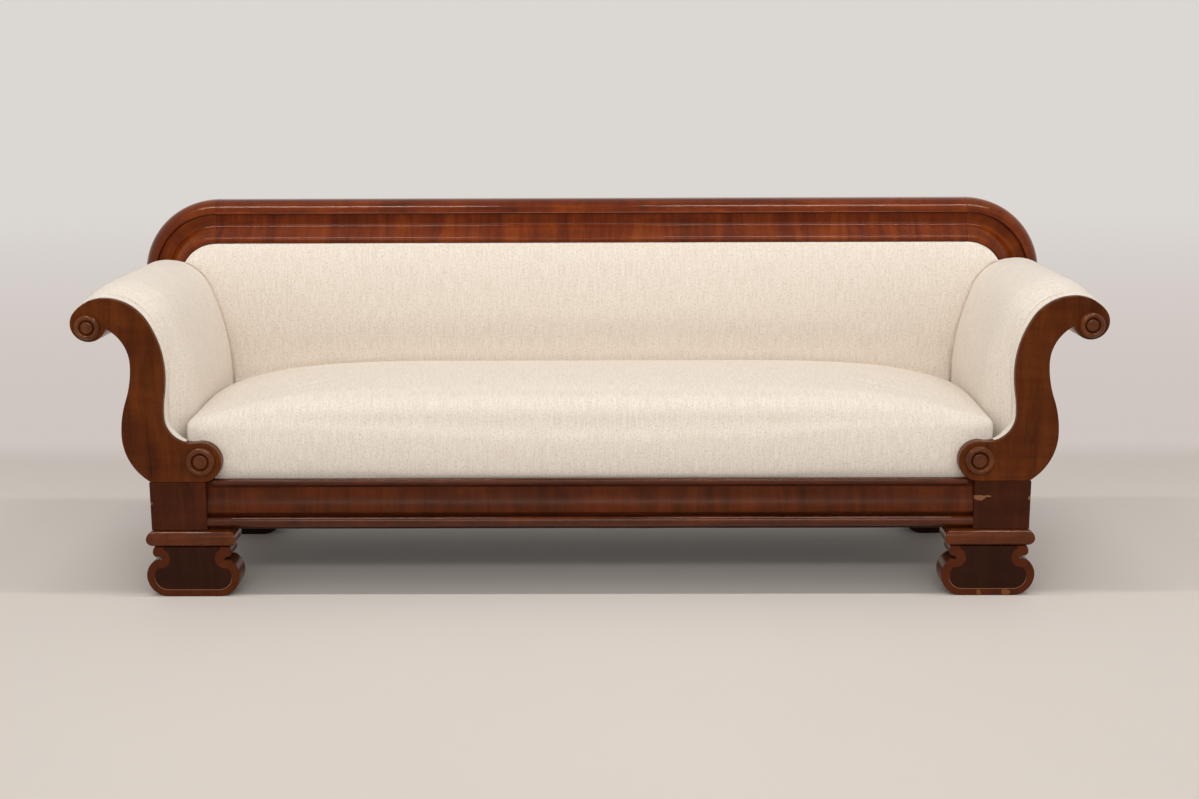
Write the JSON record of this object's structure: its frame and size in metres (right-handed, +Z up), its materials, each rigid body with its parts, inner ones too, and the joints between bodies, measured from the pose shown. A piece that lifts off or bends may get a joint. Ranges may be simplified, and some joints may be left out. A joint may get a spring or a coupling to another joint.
{
  "type": "empire sofa",
  "caption": "Scroll-arm empire sofa with a moulded mahogany frame, rolled crest rail, lobed notched feet and tight ivory upholstery.",
  "frame": {"origin": "on the floor under the middle of the sofa's box", "axes": "+X along the sofa to the right as seen from the front, +Y to the rear, +Z up; the front faces -Y"},
  "size_m": [2.217, 0.574, 0.823],
  "materials": {
    "mahogany": "french polish, glossy",
    "dark_wood": "dark stain, dull",
    "secondary_wood": "stained, dull",
    "ivory_fabric": "nubby plain weave",
    "webbing": "jute webbing",
    "hessian": "coarse weave",
    "dust_cloth": "black cambric",
    "spring_steel": "dull"
  },
  "bodies": {
    "root": {"arm_pad_left": "ivory_fabric", "arm_pad_right": "ivory_fabric", "arm_roll_rail_left": "secondary_wood", "arm_roll_rail_right": "secondary_wood", "arm_scroll_front_left": "mahogany", "arm_scroll_front_right": "mahogany", "arm_tack_rail_left": "secondary_wood", "arm_tack_rail_right": "secondary_wood", "back_lower_rail": "secondary_wood", "back_pad": "ivory_fabric", "back_stile_left": "secondary_wood", "back_stile_right": "secondary_wood", "back_upper_rail": "secondary_wood", "back_webbing": "webbing", "corner_glue_blocks": "secondary_wood", "crest_ogee_corners": "mahogany", "crest_ogee_middle": "mahogany", "crest_roll_corners": "mahogany", "crest_roll_middle": "mahogany", "crest_tenons": "secondary_wood", "dust_cover": "dust_cloth", "foot_tenons": "secondary_wood", "front_foot_cap_left": "mahogany", "front_foot_cap_right": "mahogany", "front_foot_left": "mahogany", "front_foot_right": "mahogany", "front_rail_lower_bead": "mahogany", "front_rail_ogee": "mahogany", "front_rail_top_bead": "mahogany", "front_seat_rail": "mahogany", "lower_roundels": "mahogany", "outside_arm_cover_left": "ivory_fabric", "outside_arm_cover_right": "ivory_fabric", "outside_back_cover": "ivory_fabric", "plinth_block_left": "mahogany", "plinth_block_right": "mahogany", "rear_arm_post_left": "secondary_wood", "rear_arm_post_right": "secondary_wood", "rear_foot_left": "dark_wood", "rear_foot_right": "dark_wood", "rear_seat_rail": "secondary_wood", "seat_braces": "secondary_wood", "seat_pad": "ivory_fabric", "seat_springs": "spring_steel", "seat_webbing": "webbing", "side_seat_rail_left": "secondary_wood", "side_seat_rail_right": "secondary_wood", "spring_deck": "hessian", "upper_roundels": "mahogany"}
  },
  "joints": []
}
